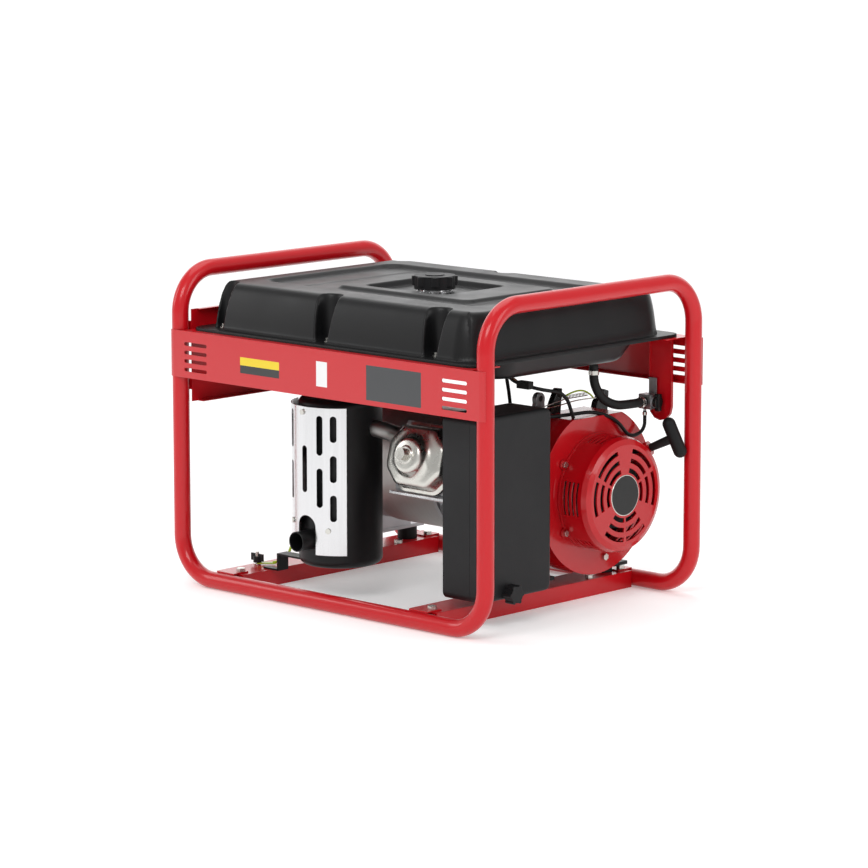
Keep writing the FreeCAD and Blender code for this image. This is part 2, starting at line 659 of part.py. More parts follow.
# intake, carburettor and its levers
IY, IZ = 120 - 248 * math.cos(tilt) + 30 * math.sin(tilt), 181 + 248 * math.sin(tilt) + 30 * math.cos(tilt)
node("intake_elbow", cut(fuse(cyl(20, 9, (167.2, IY, IZ), "x"), box(167.2, 172.2, IY - 30, IY + 30, IZ - 14, IZ + 14)),
                         cyl(12, 20, (160, IY, IZ), "x"), ebox(50, 80, 261.9, 330, -80, 80)))
carb = fuse(box(176.3, 198, IY - 19, IY + 19, IZ - 18, IZ + 20), cyl(13, 26, (189.5, IY, IZ - 43)),
            cyl(4, 6, (187, IY, IZ - 49)), cyl(21, 6, (197.9, IY, IZ), "x"), box(177, 184, IY + 18, -80, 258, 264), cyl(2.9, 8, (180.5, -87, 263)))
node("carburetor", cut(carb, cyl(12, 40, (170, IY, IZ), "x"), cyl(3.05, 14, (182, IY - 10, IZ + 8)),
                       cyl(3.05, 14, (192, IY + 10, IZ + 8))))
node("choke_lever", fuse(cyl(3, 16, (192, IY + 10, IZ + 9)), box(188, 196, IY + 6, IY + 19, IZ + 24.8, IZ + 27.4),
                         cyl(4, 8, (192, IY + 16, IZ + 24.9))))
node("throttle_arm", fuse(cyl(3, 12, (182, IY - 10, IZ + 9)), box(178.5, 185.5, IY - 40, IY - 6, IZ + 20.6, IZ + 22.8)))

# air cleaner: case open towards the cover, cover, element and knob
bx0, bxf, by0, by1, bz0, bz1 = (d(n) for n in ("box_x", "box_face", "box_y0", "box_y1", "box_z0", "box_z1"))
split = 262


def rbox(x0, x1, y0, y1, z0, z1, r):
    o = box(x0, x1, y0, y1, z0, z1)
    return fillet(o, r, lambda e: abs(e.tangentAt(e.FirstParameter).x) > 0.9)


node("air_cleaner_case", cut(rbox(bx0, split, by0, by1, bz0, bz1, 12),
                             rbox(bx0 + 2.5, split + 2, by0 + 2.5, by1 - 2.5, bz0 + 2.5, bz1 - 2.5, 9.5),
                             cyl(14, 20, (195, IY, IZ), "x")))
cov = rbox(split + 0.3, bxf, by0, by1, bz0, bz1, 12)
cov = fillet(cov, 7, lambda e: all(abs(v.Point.x - val(bxf)) < 1e-3 for v in e.Vertexes))
node("air_cleaner_cover", cut(cov, rbox(split - 2, bxf - 2.5, by0 + 2.5, by1 - 2.5, bz0 + 2.5, bz1 - 2.5, 9.5),
                              cyl(3.55, 30, (270, -129, 52), "x")))
node("air_element", cut(rbox(212, 256, -188, -40, 140, 328, 12), rbox(205, 246, -178, -50, 150, 318, 6)))
kn = [cyl(13.3, 17.7, (285.3, -129, 52), "x")]
kn += [cyl(3.3, 17.7, (285.3, -129 + 13.2 * math.cos(math.radians(60 * k)), 52 + 13.2 * math.sin(math.radians(60 * k))), "x") for k in range(6)]
node("air_cleaner_knob", fuse(cyl(3.5, 20, (266, -129, 52), "x"), *kn))

# ============================ FAN AND RECOIL ================================
fr, fb, rb, face = d("fan_rad"), d("fan_back"), d("recoil_back"), d("face_x")
shape = fuse(cyl(fr, rb - fb, (fb, cy, cz), "x"), box(fb, fb + 30, -74, 110, 196, 305))
hole = fuse(cyl(fr - 2.5, rb - fb - 5, (fb + 2.5, cy, cz), "x"), box(fb - 1, fb + 27.5, -71.5, 110, 198.5, 302.5))
limit = box(100, 300, -100, 240, 0, 305)
com = doc.addObject("Part::MultiCommon", uid("common")); com.Shapes = [shape, limit]
limit2 = box(100, 300, -100, 237.5, 0, 302.5)
com2 = doc.addObject("Part::MultiCommon", uid("common")); com2.Shapes = [hole, limit2]
fan = cut(com, com2, cyl(100, 10, (fb - 5, cy, cz), "x"), cyl(88, 20, (rb - 10, cy, cz), "x"))
node("fan_cover", fan)

b = pd_body("recoil_housing")
R, D_ = d("recoil_rad"), face - rb
prof = [(0.15, R - 2.5), (0.15, R + 3), (3, R + 3), (3, R), (D_ - 12, R), (D_ - 3.5, R - 3.5), (D_, R - 12), (D_, 0),
        (D_ - 46, 0), (D_ - 46, 8), (D_ - 2.5, 8), (D_ - 2.5, R - 13), (D_ - 5, R - 6), (D_ - 13, R - 2.5)]
prof = [(p if isinstance(p, Q) else Q(p, "%.4g" % p), q) for p, q in prof]
pd_rev(b, pd_poly(b, "XY_Plane", prof), "H_Axis")
place(b, (rb, cy, cz))
slots = []
for a0, a1 in ((104, 150), (156, 201), (230, 268), (273, 311), (340, 385), (391, 436)):
    for r in (41, 57, 73):
        o = cut(cyl(r + 3.8, 12, (face - 8, cy, cz), Rotation(V(1, 0, 0), a0 + 90) * AX["x"], a1 - a0),
                cyl(r - 3.8, 14, (face - 9, cy, cz), "x"))
        slots.append(o)
for a in (80, 162, 228, 292):
    for k in range(4):
        x0 = val(rb) + 9 + 9 * k
        seg = cut(cyl(R + 4, 4.6, (x0, cy, cz), Rotation(V(1, 0, 0), a + 90) * AX["x"], 34), cyl(R - 8, 6, (x0 - 0.5, cy, cz), "x"))
        slots.append(seg)
E0 = V(290, 208, 246)
G0 = V(330, 222, 266)
HS = G0 - E0
HS.normalize()
RH = Rotation(V(0, 0, 1), HS)
LUG = [(147.3, 101), (215.4, 101), (352, 101)]
lugs = [cyl(8, 2.85, (val(rb) + 0.15, 120 + r * math.cos(math.radians(a)), 181 + r * math.sin(math.radians(a))), "x") for a, r in LUG]
snout = cyl(12, 36, tuple(E0 - HS * 36), RH)
RP = [(274, 130.2, 239.1), tuple(E0 - HS * 24), tuple(E0 + HS * 1.4)]
RQ = RP[:2] + [tuple(E0 + HS * 8)]
rbore = feature(cord(RQ, 7.2, "rope guide"))
node("recoil_housing", cut(fuse(b, snout, *lugs), rbore, *slots))
node("recoil_pulley", cut(cyl(56, 24, (270, cy, cz), "x"), cyl(8.05, 60, (255, cy, cz), "x"),
                          cut(cyl(60, 8, (278, cy, cz), "x"), cyl(50, 8, (278, cy, cz), "x"))))
GR = V(-27.7, -6, 63.9)
GR.normalize()
GR = GR - HS * GR.dot(HS)
GR.normalize()
RG = Rotation(V(0, 0, 1), GR)
grip = [cyl(11, 48, tuple(G0 - GR * 24), RG)]
for sgn in (-1, 1):
    o = doc.addObject("Part::Sphere", uid("ball")); o.Radius = 11
    grip.append(place(o, tuple(G0 + GR * 24 * sgn)))
node("pull_handle", fuse(cone(6.5, 8, G0.distanceToPoint(E0) - 5, tuple(E0 + HS * 1.5), RH), *grip))
node("starter_rope", feature(cord(RP, val(d("rope_dia")), "starter_rope")))

# ============================ ROTATING TRAIN ================================
sr = d("shaft_rad")
blades = []
for k in range(16):
    o = box(204, 224, -2, 2, 72, 106)
    o.Placement = Placement(V(0, val(cy), val(cz)), Rotation(V(1, 0, 0), 22.5 * k)).multiply(o.Placement)
    blades.append(o)
node("flywheel", cut(fuse(cyl(108, 33, (172, cy, cz), "x"), cyl(24, 30, (200, cy, cz), "x"), cyl(74, 22, (204, cy, cz), "x"), *blades),
                     cyl(sr, 80, (165, cy, cz), "x"), cut(cyl(92, 10, (171, cy, cz), "x"), cyl(30, 10, (171, cy, cz), "x"))))
node("crankshaft", fuse(cyl(sr, 78, (-8, cy, cz), "x"), cyl(40, 16, (70, cy, cz), "x"), cyl(40, 14, (126, cy, cz), "x"),
                        cyl(16, 42, (85, cy - 30.9, cz + 8.3), "x"), cyl(sr, 108, (138, cy, cz), "x")))

# ============================ ALTERNATOR ====================================
sR = d("stator_rad")
rib = [box(-170, -30, cy - 8 + dy, cy + 8 + dy, cz + sR - 3, cz + sR + 3) for dy in (0,)]
node("alternator_stator", cut(cyl(sR, 140, (-170, cy, cz), "x"), cyl(72, 142, (-171, cy, cz), "x")))
node("alternator_rotor", fuse(cyl(71, 128, (-164, cy, cz), "x"), cyl(sr, 220, (-228, cy, cz), "x"), cyl(22, 24, (-206, cy, cz), "x")))
node("alternator_adapter", cut(fuse(cyl(sR, 8, (-29.9, cy, cz), "x"), cone(96, 70, 36, (-22, cy, cz), "x"), cyl(70, 8, (13.9, cy, cz), "x")),
                               cut(cone(92, 66, 36, (-22, cy, cz), "x"), cyl(20, 60, (-30, cy, cz), "x")),
                               cyl(12.6, 80, (-40, cy, cz), "x"), cut(cyl(90, 9, (-30.5, cy, cz), "x"), cyl(20, 9, (-30.5, cy, cz), "x"))))
vents = []
for k in range(12):
    o = box(-240, -232, -5, 5, 42, 80)
    o.Placement = Placement(V(0, val(cy), val(cz)), Rotation(V(1, 0, 0), 30 * k)).multiply(o.Placement)
    vents.append(o)
bell = fuse(cyl(sR - 2, 66, (-236.1, cy, cz), "x"), box(-262, -226, 30, 210, 50.1, 56), box(-236, -227, 62, 178, 55, 96))
node("alternator_end_bell", cut(bell, cut(cyl(sR - 8, 64, (-231, cy, cz), "x"), cyl(26, 10, (-231, cy, cz), "x")),
                                cyl(12.6, 80, (-240, cy, cz), "x"), *vents))

# ============================ EXHAUST =======================================
mx, my, mr = d("muf_x"), d("muf_y"), d("muf_rad")
m0, m1 = d("muf_lo"), d("muf_hi")


def rim(e):
    return e.Curve.TypeId == "Part::GeomCircle" and abs(e.Vertexes[0].Point.z - e.Vertexes[-1].Point.z) < 1e-6


can = fillet(cyl(mr, m1 - m0, (mx, my, m0)), 12, rim)
hollow = fillet(cyl(mr - 1.6, m1 - m0 - 3.2, (mx, my, m0 + 1.6)), 10.4, rim)
SCREW = ((-94, 317), (-59.7, 124), (-116, 134), (-150, 296))
pads = []
for a, z in SCREW:
    u = math.radians(a)
    pads.append(cyl(5, 12.2, (mx + 67.8 * math.cos(u), my + 67.8 * math.sin(u), z), Rotation(V(0, 0, 1), V(math.cos(u), math.sin(u), 0))))
OX, OZ = -70, 106
spout = cyl(16.5, 49, (OX, -205, OZ), "-y")
node("muffler_body", cut(fuse(can, *(pads + [spout])), hollow, cyl(15, 70, (OX, -190, OZ), "-y"),
                         cyl(11.5, 40, (-20, -138, 287), "x")))
s0, s1, sh = d("shield_lo"), d("shield_hi"), d("shield_rad")
ring = cut(cyl(sh, s1 - s0, (mx, my, s0), Rotation(V(0, 0, 1), -166), 128), cyl(sh - 1.0, s1 - s0 + 2, (mx, my, s0 - 1)))
wins = []
for a, spans in ((-53.5, ((139.5, 183), (204, 248), (270, 313))), (-70.1, ((162, 226.5), (248, 313))), (-91.4, ((185, 262),)),
                 (-119.3, ((170, 233), (255, 318)))):
    R_ = Rotation(V(0, 0, 1), a)
    for z0, z1 in spans:
        o = box(70, 90, -5.45, 5.45, z0 + 5.45, z1 - 5.45)
        o.Placement = Placement(V(val(mx), val(my), 0), R_).multiply(o.Placement)
        wins.append(o)
        for z in (z0 + 5.45, z1 - 5.45):
            c = cyl(5.45, 20, (70, 0, z), "x")
            c.Placement = Placement(V(val(mx), val(my), 0), R_).multiply(c.Placement)
            wins.append(c)
wins += [box(OX - 19, OX + 19, -240, -190, 70, 128), cyl(19, 60, (OX, -185, 128), "-y")]
node("muffler_shield", cut(ring, *wins))
node("muffler_bracket", fuse(box(-200, -110, -172, -148, 54.9, 57.9), box(-200, -197, -172, -148, 28.1, 57.9), box(-232, -197, -172, -160, 28.1, 31)))
ep = [(46.2, IY, IZ), (26, IY, IZ + 0.8), (8, -138, 287), (-26, -138, 287)]
es, ew = tube(ep, 22, 14)
ei, ew = tube(ep, 22, 11.5)
trimmer = Part.makeBox(160, 138, 160, V(-80, -400, -80))
trimmer.Placement = ENGINE
es = es.fuse(Part.makeCylinder(23, 5, V(46.2, IY, IZ), V(-1, 0, 0)).cut(trimmer))
keep = Part.makeCylinder(val(mr) + 0.1, 400, V(val(mx), val(my), 0))
elbow = es.cut(ei).cut(keep)
node("exhaust_elbow", feature(elbow))

# ============================ MOUNTS, BOLTS, EARTH ==========================
node("engine_rails", group(box(20, 225, 12, 46, 40.1, 46), box(20, 225, 194, 228, 40.1, 46)))
mt = [cyl(14, 12, (198, y, 28.1)) for y in (29, 199)] + [cyl(17, 22, (-245, y, 28.1)) for y in (52, 188)]
node("rubber_mounts", group(*mt))
hexes = [fuse(prism(6, 7.5, 6, (x, y, z)), cyl(3.9, 12, (x, y, z - 11.9)))
         for x, y, z in ((-231, -225, 30.6), (-231, 225, 30.6), (210, -228, 30.6), (210, 228, 30.6), (-222, 142, 28.1), (218, 140, 28.1))]
fb_ = []
for a, r in LUG:
    u = math.radians(a)
    fb_.append(prism(6, 5.2, 5, (val(rb) + 3.1, 120 + 101.2 * math.cos(u), 181 + 101.2 * math.sin(u)), "x"))
fb_.append(prism(6, 6, 5, (val(rb) + 0.1, 138, 69), "x"))
u0 = [eng(prism(6, 11, 12, (0, -314.3, 0), "-y"))]
for a, z in SCREW[:3]:
    u = math.radians(a)
    fb_.append(cyl(4.5, 2.5, (-71 + 81.1 * math.cos(u), -150 + 81.1 * math.sin(u), z), Rotation(V(0, 0, 1), V(math.cos(u), math.sin(u), 0))))
node("engine_bolts", group(*(hexes + fb_ + u0)))
node("oil_dipstick", fuse(cyl(9.1, 22, (110, 6, 90), "y"), cyl(12, 8, (110, 1.2, 90), "y"), box(107.5, 112.5, -4, 3, 80, 100)))
GX, GY = -262, -157
node("ground_stud", fuse(cyl(3, 22, (GX, GY, 28.1)), cyl(6, 2.2, (GX, GY, 28.1))))
node("ground_knob", cut(fuse(cyl(7, 10, (GX, GY, 32.4)), box(GX - 14, GX + 14, GY - 1.5, GY + 1.5, 35, 47)), cyl(3.05, 22, (GX, GY, 31))))
gw = [(-239, -139.5, 32.6), (-218, -131, 40), (-217, -118, 68), (-212, -90, 82), (-207, -20, 92), (-203, 43.5, 112.8)]
wire = cord(gw, val(d("wire_dia")), "ground_wire")
dx, dy = -239 - GX, -139.5 - GY
ang = math.degrees(math.atan2(dy, dx))
lug = Part.makeBox(30, 12, 1.6, V(0, -6, 0)).fuse(Part.makeBox(6, 5, 4, V(26, -2.5, 0))).cut(Part.makeCylinder(3.2, 4, V(0, 0, -1)))
lug.Placement = Placement(V(GX, GY, 30.5), Rotation(V(0, 0, 1), ang))
node("ground_wire", feature(lug.fuse(wire)))
hn = [(110, 70, 272.5), (112, 60, 330), (150, 10, 376), (196, -18, 370), (236, -8, 362), (244, 50, 350), (240, 74, 306)]
node("engine_harness", feature(cord(hn, 6.0, "engine_harness").fuse(Part.makeBox(26, 12, 12, V(203, -23, 362)))))

# ============================ CONTROL PANEL =================================
socks = []
for y in SOCK_Y:
    socks.append(cut(fuse(cyl(27, 5, (-339.7, y, SOCK_Z), "x"), cyl(21.8, 24, (-335, y, SOCK_Z), "x")),
                     cyl(18, 17, (-341, y, SOCK_Z), "x")))
node("outlet_sockets", group(*socks))
node("engine_switch", box(-341, -329, 119.5, 144.5, 380.4, 399.6))
node("breaker_button", fuse(cyl(9.8, 14, (-343, 70, 400), "x"), cyl(13, 3, (-329.4, 70, 400), "x")))

doc.recompute()
bad = [o.Label for o in doc.Objects if any(w in str(o.State) for w in ("Invalid", "Error"))]
assert not bad, bad
for n, o in NODES.items():
    assert not o.Shape.isNull() and o.Shape.isValid(), n
os.makedirs("parts", exist_ok=True)
for f in os.listdir("parts"):
    if f.endswith(".step") and f[:-5] not in NODES:
        os.remove(os.path.join("parts", f))
for n, o in sorted(NODES.items()):
    o.Shape.exportStep("parts/%s.step" % n)
    b = o.Shape.BoundBox
    print("%-22s solids %d  x %.1f..%.1f  y %.1f..%.1f  z %.1f..%.1f" % (n, len(o.Shape.Solids), b.XMin, b.XMax, b.YMin, b.YMax, b.ZMin, b.ZMax))
print(len(NODES), "nodes")
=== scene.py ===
import math
import bpy
import bmesh
from mathutils import Matrix, Vector


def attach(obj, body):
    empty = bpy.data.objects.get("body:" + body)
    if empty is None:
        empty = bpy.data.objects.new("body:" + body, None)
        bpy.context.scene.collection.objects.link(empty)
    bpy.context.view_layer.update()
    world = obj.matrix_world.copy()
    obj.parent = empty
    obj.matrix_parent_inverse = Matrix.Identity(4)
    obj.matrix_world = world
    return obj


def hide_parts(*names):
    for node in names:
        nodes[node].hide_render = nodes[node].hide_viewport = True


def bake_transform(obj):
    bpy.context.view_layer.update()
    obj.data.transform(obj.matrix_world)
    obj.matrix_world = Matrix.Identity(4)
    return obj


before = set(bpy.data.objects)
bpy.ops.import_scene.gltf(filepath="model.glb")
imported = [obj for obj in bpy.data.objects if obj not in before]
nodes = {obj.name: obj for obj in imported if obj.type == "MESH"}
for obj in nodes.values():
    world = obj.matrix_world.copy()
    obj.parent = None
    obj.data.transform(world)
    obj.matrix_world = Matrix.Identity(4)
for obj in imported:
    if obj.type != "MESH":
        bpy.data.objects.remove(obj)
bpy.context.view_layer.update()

D = bpy.data
link = bpy.context.scene.collection.objects.link


# ---------------------------------------------------------------- materials
class Mat:
    """A principled material built from nodes."""

    def __init__(self, name):
        self.m = D.materials.new(name)
        self.m.use_nodes = True
        self.t = self.m.node_tree
        self.b = self.t.nodes["Principled BSDF"]

    def put(self, key, v):
        self.b.inputs[key].default_value = v
        return self

    def node(self, kind, **kw):
        n = self.t.nodes.new(kind)
        for k, v in kw.items():
            if k in n.inputs:
                n.inputs[k].default_value = v
            else:
                setattr(n, k, v)
        return n

    def wire(self, a, b):
        self.t.links.new(a, b)

    def coords(self, scale):
        c = self.node("ShaderNodeTexCoord")
        m = self.node("ShaderNodeMapping")
        m.inputs["Scale"].default_value = scale
        self.wire(c.outputs["Object"], m.inputs["Vector"])
        return m.outputs["Vector"]

    def noise(self, scale, stretch=(1, 1, 1), detail=3.0):
        n = self.node("ShaderNodeTexNoise")
        n.inputs["Scale"].default_value = scale
        n.inputs["Detail"].default_value = detail
        self.wire(self.coords(stretch), n.inputs["Vector"])
        return n.outputs["Fac"]

    def ramp(self, fac, lo, hi):
        r = self.node("ShaderNodeMapRange")
        r.inputs["From Min"].default_value = 0.3
        r.inputs["From Max"].default_value = 0.7
        r.inputs["To Min"].default_value = lo
        r.inputs["To Max"].default_value = hi
        self.wire(fac, r.inputs["Value"])
        return r.outputs["Result"]

    def edge(self, radius=0.0009):
        n = self.node("ShaderNodeBevel")
        n.samples = 4
        n.inputs["Radius"].default_value = radius
        self.edge_out = n.outputs["Normal"]
        self.wire(self.edge_out, self.b.inputs["Normal"])
        return self

    def bump(self, fac, strength, distance):
        n = self.node("ShaderNodeBump")
        n.inputs["Strength"].default_value = strength
        n.inputs["Distance"].default_value = distance
        self.wire(fac, n.inputs["Height"])
        if hasattr(self, "edge_out"):
            self.wire(self.edge_out, n.inputs["Normal"])
        self.wire(n.outputs["Normal"], self.b.inputs["Normal"])
        return self


def paint(name, col, rough, coat, peel=0.0, dust=0.0):
    m = Mat(name)
    m.put("Base Color", (*col, 1)).put("Roughness", rough).put("Coat Weight", coat).put("Coat Roughness", 0.07)
    m.put("Specular IOR Level", 0.25)
    m.edge()
    if peel:
        m.bump(m.noise(420, detail=1.0), peel, 0.0004)
    if dust:
        m.wire(m.ramp(m.noise(14, detail=4.0), rough - dust, rough + dust), m.b.inputs["Roughness"])
    return m.m


def metal(name, col, rough, spread=0.05, scale=60, stretch=(1, 1, 1), grain=0.0, grain_scale=900):
    m = Mat(name)
    m.put("Base Color", (*col, 1)).put("Metallic", 1.0)
    m.edge()
    m.wire(m.ramp(m.noise(scale, stretch), max(rough - spread, 0.03), rough + spread), m.b.inputs["Roughness"])
    if grain:
        m.bump(m.noise(grain_scale, stretch, 2.0), grain, 0.0003)
    return m.m


M = {
    "red": paint("red paint", (0.50, 0.003, 0.008), 0.30, 0.35, peel=0.05),
    "tank": paint("tank black", (0.006, 0.006, 0.0065), 0.38, 0.0, peel=0.12, dust=0.05),
    "black": paint("black paint", (0.005, 0.005, 0.0055), 0.42, 0.0, peel=0.08, dust=0.05),
    "engine red": paint("engine red", (0.44, 0.002, 0.006), 0.26, 0.45, peel=0.04),
    "plastic": paint("dark plastic", (0.010, 0.010, 0.011), 0.48, 0.0, peel=0.35, dust=0.04),
    "gloss": paint("gloss plastic", (0.008, 0.008, 0.008), 0.25, 0.1),
    "grey": paint("grey plastic", (0.42, 0.42, 0.41), 0.45, 0.0),
    "white": paint("white ceramic", (0.82, 0.82, 0.79), 0.2, 0.4),
    "rubber": paint("rubber", (0.006, 0.006, 0.006), 0.58, 0.0, peel=0.2, dust=0.06),
    "foam": paint("filter foam", (0.10, 0.10, 0.10), 0.9, 0.0, peel=0.9),
    "zinc": metal("zinc", (0.58, 0.57, 0.53), 0.27, 0.07, 45),
    "yellow zinc": metal("yellow zinc", (0.70, 0.58, 0.32), 0.32, 0.07, 45),
    "polished": metal("polished steel", (0.66, 0.66, 0.67), 0.22, 0.05, 300, (1, 1, 0.03)),
    "sheet": metal("bright sheet", (0.70, 0.70, 0.71), 0.25, 0.06, 80),
    "dull": metal("dull steel", (0.30, 0.29, 0.28), 0.45, 0.08, 40, grain=0.2),
    "alu": metal("cast aluminium", (0.36, 0.36, 0.37), 0.44, 0.06, 40, grain=0.6),
    "lamination": metal("laminations", (0.33, 0.32, 0.31), 0.45, 0.06, 500, (1, 0.01, 0.01), grain=0.5),
    "brown": paint("brown wire", (0.20, 0.07, 0.02), 0.4, 0.1),
    "earth": paint("earth wire", (0.42, 0.55, 0.03), 0.35, 0.1),
}

USE = {
    "red": "frame_loop_left frame_loop_right panel_back panel_left cross_member_left cross_member_right valve_bracket",
    "panel": "panel_front",
    "tank": "tank_upper tank_lower",
    "black": "muffler_bracket engine_rails muffler_body",
    "engine red": "recoil_housing fan_cover",
    "plastic": "ground_knob air_cleaner_case air_cleaner_cover air_cleaner_knob recoil_pulley choke_lever fuel_cap intake_elbow",
    "zinc": "tank_bolts engine_bolts hose_clips rocker_cover throttle_arm ground_stud",
    "polished": "muffler_shield",
    "sheet": "lower_shroud filler_neck",
    "dull": "exhaust_elbow crankshaft",
    "lamination": "alternator_stator alternator_rotor",
    "alu": "crankcase cylinder cylinder_head carburetor alternator_adapter alternator_end_bell piston flywheel fuel_valve",
    "rubber": "rubber_mounts fuel_hose fuel_line pull_handle spark_plug_cap starter_rope engine_harness",
    "gloss": "outlet_sockets engine_switch breaker_button fuel_valve_lever oil_dipstick",
    "white": "spark_plug",
    "foam": "air_element",
    "earth": "ground_wire",
}
# three bare plates on the front panel
lab = Mat("front panel")
lab.put("Roughness", 0.30).put("Coat Weight", 0.35).put("Coat Roughness", 0.07)
sep = lab.node("ShaderNodeSeparateXYZ")
lab.wire(lab.coords((1, 1, 1)), sep.inputs[0])


def calc(op, a, b, c=0.0):
    n = lab.node("ShaderNodeMath")
    n.operation = op
    for k, v in enumerate((a, b, c)):
        if isinstance(v, (int, float)):
            n.inputs[k].default_value = v
        else:
            lab.wire(v, n.inputs[k])
    return n.outputs[0]


face = calc("LESS_THAN", sep.outputs[1], -0.2650)
col = None
for x0, x1, z0, z1, c in ((-186.5, -95.6, 373, 386.2, (0.01, 0.01, 0.01, 1)), (-186.5, -95.6, 386.2, 399.4, (0.75, 0.55, 0.0, 1)),
                          (-10.5, 14.1, 370, 410.6, (0.75, 0.75, 0.75, 1)), 
                          (101.6, 222, 359.5, 415.6, (0.03, 0.032, 0.035, 1))):
    m = calc("MULTIPLY", calc("COMPARE", sep.outputs[0], (x0 + x1) / 2000, (x1 - x0) / 2000),
             calc("COMPARE", sep.outputs[2], (z0 + z1) / 2000, (z1 - z0) / 2000))
    m = calc("MULTIPLY", m, face)
    mix = lab.node("ShaderNodeMix")
    mix.data_type = "RGBA"
    lab.wire(m, mix.inputs[0])
    if col is None:
        mix.inputs[6].default_value = (0.50, 0.003, 0.008, 1)
    else:
        lab.wire(col, mix.inputs[6])
    mix.inputs[7].default_value = c
    col = mix.outputs[2]
lab.wire(col, lab.b.inputs["Base Color"])
M["panel"] = lab.m
for key, names in USE.items():
    for n in names.split():
        o = nodes[n]
        o.data.materials.clear()
        o.data.materials.append(M[key])
unset = [n for n in nodes if not any(n in v.split() for v in USE.values())]
assert not unset, unset


# ---------------------------------------------------------------- shapes
def mesh(name, verts, faces, mat, body="chassis", smooth=True):
    me = D.meshes.new(name)
    me.from_pydata([tuple(c / 1000 for c in v) for v in verts], [], faces)
    me.validate()
    me.update()
    o = D.objects.new(name, me)
    link(o)
    me.materials.append(M[mat])
    for p in me.polygons:
        p.use_smooth = smooth
    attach(o, body)
    return o


def smin(a, b, k):
    """Smooth lower envelope with blend width k."""
    h = max(k - abs(a - b), 0.0) / k
    return min(a, b) - h * h * k * 0.25


def sd_rect(x, y, hx, hy, r):
    """Distance inside a rounded rectangle, negative outside."""
    qx, qy = abs(x) - hx + r, abs(y) - hy + r
    return r - math.hypot(max(qx, 0), max(qy, 0)) - min(max(qx, qy), 0)


def step(t):
    t = min(max(t, 0.0), 1.0)
    return t * t * (3 - 2 * t)


BOLTS = [(-32 + 242 * k, 214 * s) for s in (-1, 1) for k in (-1, 0, 1)]


def tank_height(x, y):
    base = 434.5
    d = sd_rect(x, y, 304, 234, 46)
    if d <= 0:
        return base
    side = abs(x) / 304 > abs(y) / 234
    w = 26.0 if side else 36.0
    t = min(d / w, 1.0)
    shell = base + 75.5 * (1 - (1 - t) ** 3.4)
    # lowered pan inside the rim, raised frame and seat round the filler
    pan = 7.0 * step((sd_rect(x + 6, y - 4, 248, 158, 30) + 2) / 14)
    ridge = 5.5 * step((sd_rect(x - 20, y - 6, 152, 112, 22) + 2) / 10)
    seat = 9.5 * step((sd_rect(x, y, 92, 78, 20) + 1) / 9)
    swage = 2.5 * step((14 - abs(abs(x - 6) - 182)) / 9) * step((150 - abs(y)) / 14)
    top = shell - (pan - ridge + seat + swage * 0.6) * step((d - 18) / 20)
    # dimples along the right shoulder
    if x > 262 and -150 < y < 160:
        top -= 2.2 * (0.5 - 0.5 * math.cos((y + 150) / 38.75 * math.pi)) * step((x - 262) / 12) * step((312 - x) / 10)
    for bx, by in BOLTS:
        if abs(x - bx) < 60 and y * by > 0:
            inward = max(0.0, abs(by) - abs(y))
            r = math.hypot(x - bx, inward)
            top = smin(top, base + 8.5 * max(r - 13.5, 0), 8.0)
    return max(top, base)


def tank():
    sx, sy = 1.7, 1.7
    nx, ny = int(642 / sx) + 1, int(500 / sy) + 1
    xs = [-321 + 642 * i / (nx - 1) for i in range(nx)]
    ys = [-250 + 500 * j / (ny - 1) for j in range(ny)]
    idx, V, F = {}, [], []
    for j, y in enumerate(ys):
        for i, x in enumerate(xs):
            if sd_rect(x, y, 321.2, 250.2, 22) >= 0:
                idx[i, j] = len(V)
                V.append((x, y, tank_height(x, y)))
    for j in range(ny - 1):
        for i in range(nx - 1):
            q = [idx.get(k) for k in ((i, j), (i + 1, j), (i + 1, j + 1), (i, j + 1))]
            if None not in q:
                F.append(q)
    # underside skirt of the flange
    edge = {}
    for f in F:
        for a, b in zip(f, f[1:] + f[:1]):
            edge[a, b] = True
    low = {}

    def lower(i):
        if i not in low:
            low[i] = len(V)
            V.append((V[i][0], V[i][1], 432.0))
        return low[i]
    for a, b in list(edge):
        if (b, a) not in edge:
            F.append([b, a, lower(a), lower(b)])
    o = mesh("tank_skin", V, F, "tank")
    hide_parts("tank_upper")


tank()

TILT = math.radians(15)
UP = Vector((0, -math.cos(TILT), math.sin(TILT)))
VP = Vector((0, math.sin(TILT), math.cos(TILT)))
C0 = Vector((107, 120, 181))


def eng(x, a, v):
    return tuple(C0 + Vector((x, 0, 0)) + UP * a + VP * v)


def octagon(t, hx, hy, k):
    """Radius of an octagon with cut corners k, towards angle t."""
    c, s = abs(math.cos(t)), abs(math.sin(t))
    r = 1e9
    if c > 1e-6:
        r = min(r, hx / c)
    if s > 1e-6:
        r = min(r, hy / s)
    return min(r, (hx + hy - k) / (c + s))


def soft_octagon(t, hx, hy, k):
    return sum(octagon(t + d, hx, hy, k) for d in (-0.10, -0.05, 0, 0.05, 0.10)) / 5


def loft(name, loops, mat, n=120, replaces=None):
    V, F = [], []
    for a, hx, hy, k, blend, rad in loops:
        for i in range(n):
            t = 2 * math.pi * i / n
            r = soft_octagon(t, hx, hy, k) * (1 - blend) + rad * blend
            V.append(eng(r * math.cos(t), a, r * math.sin(t)))
    for q in range(len(loops) - 1):
        for i in range(n):
            j = (i + 1) % n
            F.append([q * n + i, q * n + j, (q + 1) * n + j, (q + 1) * n + i])
    F.append([(len(loops) - 1) * n + i for i in range(n)])
    o = mesh(name, V, F, mat)
    if replaces:
        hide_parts(replaces)
    return o


